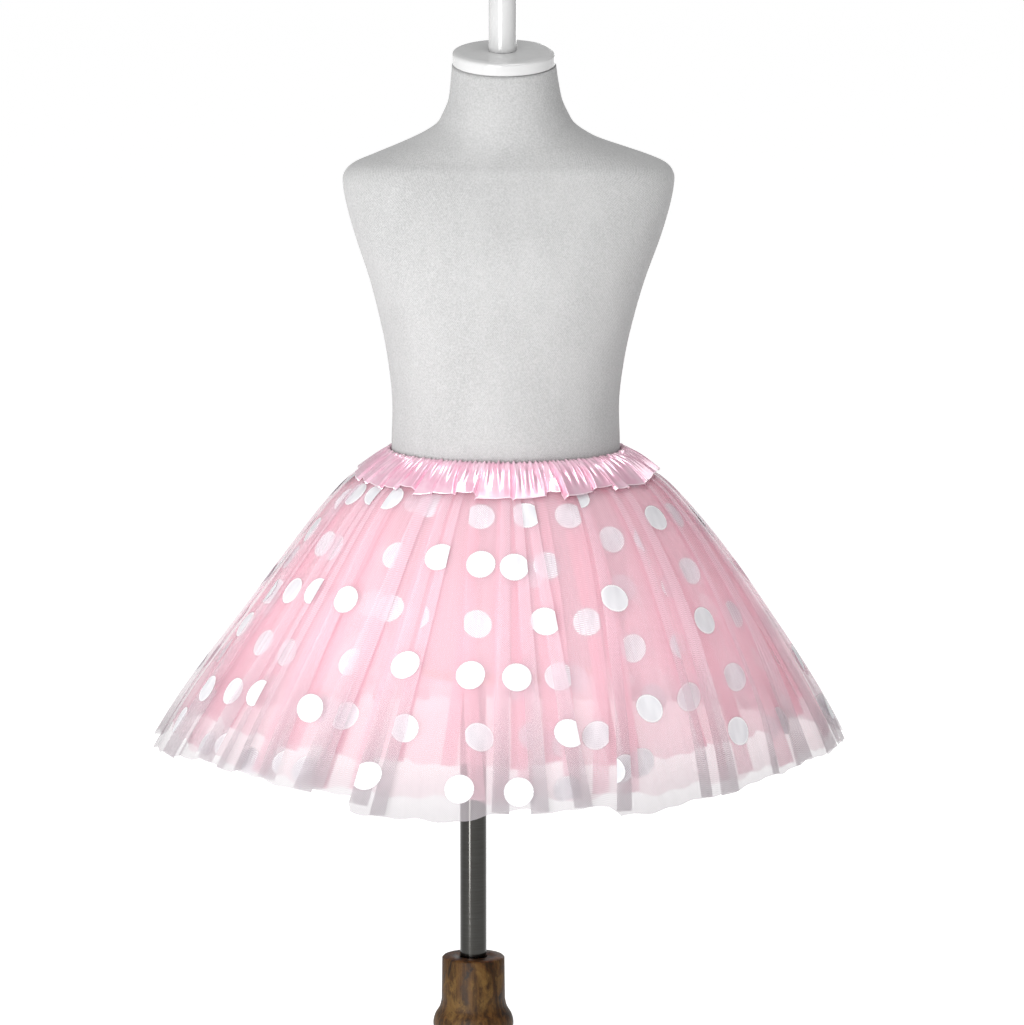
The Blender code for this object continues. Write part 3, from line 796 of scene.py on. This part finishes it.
BAND_CUT = 0.048  # depth of the satin strip laid flat
BAND_COLUMNS = 2000
BAND_ROWS = 40
BAND_PLEATS = 36
TOP_ROWS = (  # how far out, how far below the waist, and how much the gathers show
    (0.0006, 0.0150, 0.0), (0.0006, 0.0090, 0.2), (0.0006, 0.0035, 0.3), (0.0008, 0.0010, 0.7),
    (0.0014, -0.0002, 1.1), (0.0028, 0.0002, 1.3),
)


def band_pleats():
    """Start, lean, height, drop and tilt of each broad pleat, unevenly spaced by a rule."""
    chance = np.random.default_rng(7)
    widths = chance.uniform(0.5, 1.7, BAND_PLEATS)
    starts = np.concatenate([[0], np.cumsum(widths)]) / widths.sum() * 360
    return (
        starts, chance.uniform(-3.4, 3.4, BAND_PLEATS), chance.uniform(0.45, 1.15, BAND_PLEATS),
        chance.uniform(-0.0022, 0.0030, BAND_PLEATS), chance.uniform(-1, 1, BAND_PLEATS),
    )


def satin_band():
    flare = Flare(BAND_LEAN, BAND_OUT, WAIST_Z - BAND_DROP)
    angles = np.linspace(0, 360, BAND_COLUMNS, endpoint=False)
    radians = np.radians(angles)
    fine = (
        np.sin(radians * 148 + 1.3 * np.sin(radians * 11))
        + 0.5 * np.sin(radians * 97 + 0.7) + 0.35 * np.sin(radians * 211 + 2 * np.sin(radians * 7))
    ) / 1.5
    medium = np.sin(radians * 92 + 2.2 * np.sin(radians * 5 + 0.4) + 1.3 * np.sin(radians * 13))
    medium = np.sign(medium) * np.abs(medium) ** 0.7
    starts, leans, heights, drops, tilts = band_pleats()
    cos, sin = np.cos(radians), np.sin(radians)
    flat = np.stack([cos / WAIST_WIDTH, -sin / WAIST_DEPTH, np.zeros_like(cos)], -1)
    flat /= np.linalg.norm(flat, axis=1)[:, None]
    rows_p = []
    for out, drop, ripple in TOP_ROWS:
        ring = np.stack(
            [FORM_X + WAIST_WIDTH * cos, -WAIST_DEPTH * sin,
             WAIST_Z - drop - SIDE_SAG * cos * cos + ripple * 0.0012 * fine], -1
        )
        rows_p.append(ring + flat * (out + ripple * 0.0007 * fine)[:, None])
    for share in np.linspace(0.02, 1, BAND_ROWS):
        edges = starts[:-1] + leans * (share - 0.5) * share
        edges = np.concatenate([edges, [edges[0] + 360]])
        turned = (angles - edges[0]) % 360 + edges[0]
        k = np.clip(np.searchsorted(edges, turned, side="right") - 1, 0, BAND_PLEATS - 1)
        p = (turned - edges[k]) / (edges[k + 1] - edges[k])
        width = (edges[k + 1] - edges[k]) / 360 * 2 * math.pi * 0.1
        side = np.clip(0.0020 / width, 0.05, 0.5)
        steep = np.clip(p / side, 0, 1) * np.clip((1 - p) / side, 0, 1)
        face = 1 + 0.60 * tilts[k] * (2 * p - 1) - 0.34 * np.sin(math.pi * p)
        broad = heights[k] * (steep * (2 - steep)) * face
        slant = BAND_SLANT + 0.003 * sin + drops[k] * share + 0.0055 * (p - 0.5) * tilts[k] * share
        curl = np.sin(radians * 148 + 1.3 * np.sin(radians * 11) + 5.5 * share * np.sin(radians * 37 + 1))
        lift = 0.0005 + 0.0020 * (0.6 * fine + 0.4 * curl + 1) / 2 * (1 - share) ** 2.2
        lift += 0.0024 * (medium + 1) / 2 * 4 * share * (1 - share) ** 2.2
        lift += 0.0056 * broad * share ** 0.8
        lift *= 1 - 0.5 * cos * cos
        rows_p.append(flare.points(angles, slant * share, lift))
    grid = np.array(rows_p)
    rows = len(grid)
    faces = grid_faces(rows, BAND_COLUMNS, True)
    u = np.arange(BAND_COLUMNS + 1) / BAND_COLUMNS * 2.0
    v = np.linspace(0, 0.05, rows)
    uvs = []
    for r in range(rows - 1):
        for c in range(BAND_COLUMNS):
            uvs += [(u[c], v[r]), (u[c], v[r + 1]), (u[c + 1], v[r + 1]), (u[c + 1], v[r])]
    band = add_mesh("waistband_satin", grid, faces, [satin], uvs=uvs)
    solid = band.modifiers.new("thickness", "SOLIDIFY")
    solid.thickness = 0.0003
    solid.offset = 0
    return band


band = finish_piece(satin_band(), "satin", "waistband")
band_flat = (round(area_of(band) / BAND_CUT, 2), BAND_CUT)


# The dress form

Section = namedtuple("Section", "height half_width half_depth beside forward lean square")
FORM_SECTIONS = (
    Section(0.4880, 0.0880, 0.0800, 0.0265, 0.000, 0, 2),
    Section(0.4895, 0.0912, 0.0825, 0.0265, 0.000, 0, 2),
    Section(0.4940, 0.0934, 0.0842, 0.0265, 0.000, 0, 2),
    Section(0.530, 0.0985, 0.0875, 0.0265, -0.001, 0, 2),
    Section(0.580, 0.0975, 0.0865, 0.0265, -0.001, 0, 2),
    Section(0.615, 0.0948, 0.0830, 0.0265, 0.000, 0, 2),
    Section(0.640, WAIST_WIDTH, WAIST_DEPTH, FORM_X, 0.000, 0, 2),
    Section(0.665, WAIST_WIDTH, WAIST_DEPTH, FORM_X, 0.000, 0, 2),
    Section(0.700, 0.0918, 0.0795, 0.0265, 0.001, 0, 2.05),
    Section(0.735, 0.0960, 0.0790, 0.0268, 0.001, 0, 2.15),
    Section(0.765, 0.1022, 0.0790, 0.0272, 0.000, 0, 2.25),
    Section(0.797, 0.1108, 0.0790, 0.0278, 0.000, 0, 2.3),
    Section(0.830, 0.1222, 0.0765, 0.0284, 0.000, 0, 2.35),
    Section(0.855, 0.1296, 0.0720, 0.0286, 0.002, 0, 2.35),
    Section(0.872, 0.1330, 0.0672, 0.0287, 0.003, 0, 2.35),
    Section(0.882, 0.1328, 0.0640, 0.0290, 0.004, 0, 2.35),
    Section(0.890, 0.1262, 0.0608, 0.0298, 0.004, 0, 2.3),
    Section(0.8965, 0.1115, 0.0575, 0.0300, 0.005, 0, 2.25),
    Section(0.903, 0.0938, 0.0545, 0.0282, 0.006, 0, 2.2),
    Section(0.9095, 0.0765, 0.0520, 0.0262, 0.006, 1, 2.1),
    Section(0.916, 0.0640, 0.0498, 0.0264, 0.005, 2, 2),
    Section(0.9225, 0.0552, 0.0478, 0.0266, 0.004, 3, 2),
    Section(0.930, 0.0508, 0.0460, 0.0264, 0.003, 4, 2),
    Section(0.9415, 0.0458, 0.0440, 0.0262, 0.001, 6, 2),
    Section(0.9560, 0.0434, 0.0426, 0.0256, 0.000, 8, 2),
    Section(0.9700, 0.0418, 0.0416, 0.0252, 0.000, 8.5, 2),
)
FORM_SIDES = 144


def torso():
    rings = []
    for row in smooth_table(FORM_SECTIONS, 5):
        section = Section(*row)
        power = 2 / section.square
        angles = 2 * np.pi * np.arange(FORM_SIDES) / FORM_SIDES
        cos, sin = np.cos(angles), np.sin(angles)
        wide = np.sign(cos) * np.abs(cos) ** power * section.half_width
        deep = np.sign(sin) * np.abs(sin) ** power * section.half_depth
        slope = math.tan(math.radians(section.lean))
        ring = np.stack([section.beside + wide, section.forward + deep, section.height + slope * deep], -1)
        rings.append(ring)
    first, last = rings[0], rings[-1]
    rings.insert(0, np.repeat(first.mean(0)[None], FORM_SIDES, 0) * 0.6 + first * 0.4)
    rings.insert(0, np.repeat(first.mean(0)[None], FORM_SIDES, 0) * 0.98 + first * 0.02)
    rings.append(np.repeat(last.mean(0)[None], FORM_SIDES, 0) * 0.6 + last * 0.4)
    rings.append(np.repeat(last.mean(0)[None], FORM_SIDES, 0) * 0.98 + last * 0.02)
    rows = len(rings)
    faces = [tuple(reversed(face)) for face in grid_faces(rows, FORM_SIDES, True)]
    faces.append(tuple(reversed(range(FORM_SIDES))))
    faces.append(tuple((rows - 1) * FORM_SIDES + i for i in range(FORM_SIDES)))
    return add_mesh("form_torso_cover", np.array(rings), faces, [jersey])


finish_piece(torso(), "jersey", "form_torso")


# Turned pieces

Turn = namedtuple("Turn", "radius height")


def turned(name, profile, sides, material, place=(0, 0, 0), tilt=0.0, uneven=None):
    """A turned piece from its profile, closed at both ends."""
    profile = np.asarray(profile, float)
    angles = 2 * np.pi * np.arange(sides) / sides
    cos, sin, one = np.cos(angles), np.sin(angles), np.ones(sides)
    rings = [np.stack([radius * cos, radius * sin, height * one], -1) for radius, height in profile]
    grid = np.array(rings)
    if uneven is not None:
        grid = uneven(grid)
    turn = np.array(((1, 0, 0), (0, math.cos(tilt), -math.sin(tilt)), (0, math.sin(tilt), math.cos(tilt))))
    grid = grid @ turn.T + np.array(place)
    rows = len(rings)
    faces = [tuple(reversed(face)) for face in grid_faces(rows, sides, True)]
    faces.append(tuple(reversed(range(sides))))
    faces.append(tuple((rows - 1) * sides + i for i in range(sides)))
    return add_mesh(name, grid, faces, [material])


def rounded(profile, radius, steps=4):
    """A profile with each inner corner replaced by a small curve."""
    profile = np.asarray(profile, float)
    out = [profile[0]]
    for a, b, c in zip(profile, profile[1:], profile[2:]):
        left, right = a - b, c - b
        cut = min(radius, 0.45 * np.linalg.norm(left), 0.45 * np.linalg.norm(right))
        p = b + left / np.linalg.norm(left) * cut
        q = b + right / np.linalg.norm(right) * cut
        for t in np.linspace(0, 1, steps + 1):
            out.append((1 - t) ** 2 * p + 2 * t * (1 - t) * b + t ** 2 * q)
    out.append(profile[-1])
    return np.array(out)


GAP = 0.0003
CAP_RADIUS, CAP_THICK, CAP_EDGE, CAP_TILT = 0.0415, 0.0112, 0.0040, 8.5
CAP_X = 0.0252
ROD_RADIUS, ROD_TOP, ROD_X = 0.0116, 1.060, 0.0240
BOARD_RADIUS, BOARD_THICK, BOARD_EDGE = 0.076, 0.010, 0.002
POLE_RADIUS, POLE_SOCKET = 0.0108, 0.040
STEM_TOP = 0.2388
NECK_FORWARD, NECK_HEIGHT = FORM_SECTIONS[-1].forward, FORM_SECTIONS[-1].height

half = CAP_THICK / 2
tilt = math.radians(CAP_TILT)
up = np.array((0, -math.sin(tilt), math.cos(tilt)))
cap_profile = rounded((
    (0.001, -half), (CAP_RADIUS, -half), (CAP_RADIUS, half - 0.0012),
    (CAP_RADIUS - CAP_EDGE, half), (0.001, half),
), 0.0022, 6)
cap = turned(
    "neck_cap_lacquered", cap_profile, 120, lacquer,
    np.array((CAP_X, NECK_FORWARD, NECK_HEIGHT)) + up * (half + GAP), tilt,
)
finish_piece(cap, "white_lacquer", "neck_cap")

seat = NECK_HEIGHT + (CAP_THICK + 2 * GAP) / math.cos(tilt)


def sloped_foot(grid):
    low = grid[..., 2] < seat + 0.0045
    grid[..., 2] += np.where(low, grid[..., 1] * math.tan(tilt), 0)
    return grid


ROD_SLIM = ROD_RADIUS - 0.0004  # above its foot
rod_profile = [(0.001, seat), (ROD_RADIUS, seat), (ROD_RADIUS, seat + 0.004), (ROD_SLIM, seat + 0.006)]
for ring_z in (1.030, 1.046):
    rod_profile += [(ROD_SLIM, ring_z - 0.0006), (ROD_SLIM - 0.0003, ring_z), (ROD_SLIM, ring_z + 0.0006)]
for degrees in (0, 15, 30, 45, 60, 75, 86):
    across, rise = math.cos(math.radians(degrees)), math.sin(math.radians(degrees))
    rod_profile.append((ROD_SLIM * across, ROD_TOP + ROD_RADIUS * (rise - 1)))
rod = turned("neck_rod_lacquered", rod_profile, 64, lacquer, (ROD_X, NECK_FORWARD, 0), uneven=sloped_foot)
finish_piece(rod, "white_lacquer", "neck_rod")

pole_top = FORM_SECTIONS[0].height - BOARD_THICK - 2 * GAP
pole_foot = STEM_TOP - POLE_SOCKET + GAP
pole_rows = np.linspace(pole_foot + 0.002, pole_top, 12)
pole = turned(
    "stand_pole_steel",
    [(0.001, pole_foot), (POLE_RADIUS, pole_foot), *((POLE_RADIUS, z) for z in pole_rows),
     (0.001, pole_top)],
    72, steel,
)
finish_piece(pole, "dark_steel", "stand_pole")

board_top = FORM_SECTIONS[0].height - GAP
board = turned(
    "form_board_wood",
    rounded((
        (0.001, board_top - BOARD_THICK), (BOARD_RADIUS - BOARD_EDGE, board_top - BOARD_THICK),
        (BOARD_RADIUS, board_top - BOARD_THICK + BOARD_EDGE), (BOARD_RADIUS, board_top), (0.001, board_top),
    ), 0.001),
    96, board_material(), (FORM_X, 0, 0),
)
finish_piece(board, "board", "form_board")

STEM_PROFILE = (
    Turn(0.0600, 0.0223), Turn(0.0600, 0.0300), Turn(0.0560, 0.0350), Turn(0.0380, 0.0440),
    Turn(0.0270, 0.0600), Turn(0.0225, 0.0850), Turn(0.0230, 0.1150), Turn(0.0275, 0.1450),
    Turn(0.0285, 0.1580), Turn(0.0270, 0.1690), Turn(0.0295, 0.1735), Turn(0.0322, 0.1790),
    Turn(0.0328, 0.1845), Turn(0.0312, 0.1905), Turn(0.0275, 0.1968), Turn(0.0259, 0.2035),
    Turn(0.0255, 0.2376), Turn(0.0243, STEM_TOP),
)
bore = POLE_RADIUS + GAP
stem_profile = np.vstack([
    (0.001, STEM_PROFILE[0].height), STEM_PROFILE[0], STEM_PROFILE[1],
    smooth_table(STEM_PROFILE[2:-2], 5), STEM_PROFILE[-2], STEM_PROFILE[-1],
    (bore + 0.0008, STEM_TOP), (bore, STEM_TOP - 0.001),
    (bore, STEM_TOP - POLE_SOCKET), (0.001, STEM_TOP - POLE_SOCKET),
])
stem = turned("stand_stem_wood", stem_profile, 96, wood)
finish_piece(stem, "turned_wood", "stand_stem")

base_profile = rounded((
    (0.001, 0.0), (0.1420, 0.0), (0.1450, 0.0030), (0.1450, 0.0140), (0.1420, 0.0190),
    (0.1340, 0.0220), (0.001, 0.0220),
), 0.003, 5)
finish_piece(turned("stand_base_wood", base_profile, 160, wood), "turned_wood", "stand_base")

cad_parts["waist_elastic"].data.materials.clear()
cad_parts["waist_elastic"].data.materials.append(elastic_material())


# Floor, light and background

FLOOR_HALF = 40.0
floor_material, _, _, floor_shader = new_material("pale_floor")
floor_shader.inputs["Base Color"].default_value = (0.65, 0.65, 0.65, 1)
floor_shader.inputs["Emission Color"].default_value = (1, 1, 1, 1)
floor_shader.inputs["Emission Strength"].default_value = 0.72
floor_shader.inputs["Roughness"].default_value = 0.9
floor_shader.inputs["Specular IOR Level"].default_value = 0.0
floor = add_mesh(
    "floor",
    [(-FLOOR_HALF, -FLOOR_HALF, -0.0005), (FLOOR_HALF, -FLOOR_HALF, -0.0005),
     (FLOOR_HALF, FLOOR_HALF, -0.0005), (-FLOOR_HALF, FLOOR_HALF, -0.0005)],
    [(0, 1, 2, 3)], [floor_material],
)

world = bpy.data.worlds.new("studio")
world.use_nodes = True
world_nodes = world.node_tree.nodes
sky = Maths(world_nodes, world.node_tree.links)
towards = world_nodes.new("ShaderNodeVectorMath")
towards.operation = "DOT_PRODUCT"
world.node_tree.links.new(world_nodes.new("ShaderNodeTexCoord").outputs["Generated"], towards.inputs[0])
towards.inputs[1].default_value = (-0.85, -0.30, -0.43)
world_nodes["Background"].inputs["Color"].default_value = (1, 1, 1, 1)
brightness = sky.ramp(towards.outputs["Value"], -1, 1, 0.26, 0.72, smooth=False)
seen = world_nodes.new("ShaderNodeLightPath").outputs["Is Camera Ray"]  # the backdrop is plain white
brightness = sky.do("MAXIMUM", brightness, seen)
sky.put(world_nodes["Background"].inputs["Strength"], brightness)
bpy.context.scene.world = world


def softbox(name, place, aim, width, height, power):
    data = bpy.data.lights.new(name, "AREA")
    data.shape = "RECTANGLE"
    data.size, data.size_y = width, height
    data.energy = power
    light = bpy.data.objects.new(name, data)
    light.location = place
    light.rotation_euler = (Vector(aim) - Vector(place)).to_track_quat("-Z", "Y").to_euler()
    light.visible_camera = False
    bpy.context.scene.collection.objects.link(light)


softbox("key", (-1.1, -3.1, 1.35), (0, 0, 0.70), 1.5, 1.8, 56)
softbox("low", (-0.75, -1.25, 0.28), (0.05, 0, 0.40), 0.24, 0.6, 7.5)
softbox("top", (0.45, -0.45, 3.4), (0, 0, 0.6), 1.0, 1.0, 19)
softbox("back", (0.9, 3.0, 1.3), (0, 0, 0.6), 1.5, 1.5, 11)

scene = bpy.context.scene
scene.view_settings.view_transform = "Standard"
scene.view_settings.look = "None"
scene.cycles.transparent_max_bounces = 64
scene.cycles.max_bounces = 6
scene.cycles.diffuse_bounces = 4
